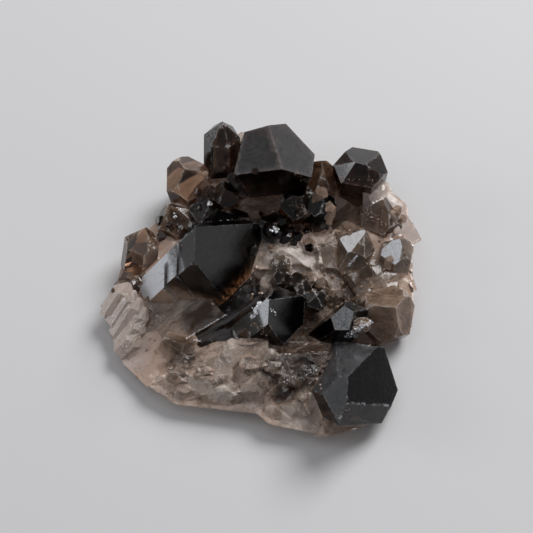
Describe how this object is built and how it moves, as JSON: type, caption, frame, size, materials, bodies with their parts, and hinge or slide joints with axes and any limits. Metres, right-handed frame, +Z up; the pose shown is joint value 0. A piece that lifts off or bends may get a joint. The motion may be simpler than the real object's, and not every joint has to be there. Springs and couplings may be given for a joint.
{
  "type": "smoky quartz crystal cluster",
  "caption": "Cluster of six-sided smoky quartz crystals that point up and outwards from a rough milky quartz base with a flat underside.",
  "frame": {"origin": "middle of the bounding box, on the flat underside", "axes": "+Z up from the flat underside, -Y towards the side the picture is taken from, +X to the picture's right"},
  "size_m": [0.0726, 0.0784, 0.0242],
  "materials": {
    "smoky_quartz": "glossy"
  },
  "bodies": {
    "root": {"quartz_cluster": "smoky_quartz"}
  },
  "joints": []
}
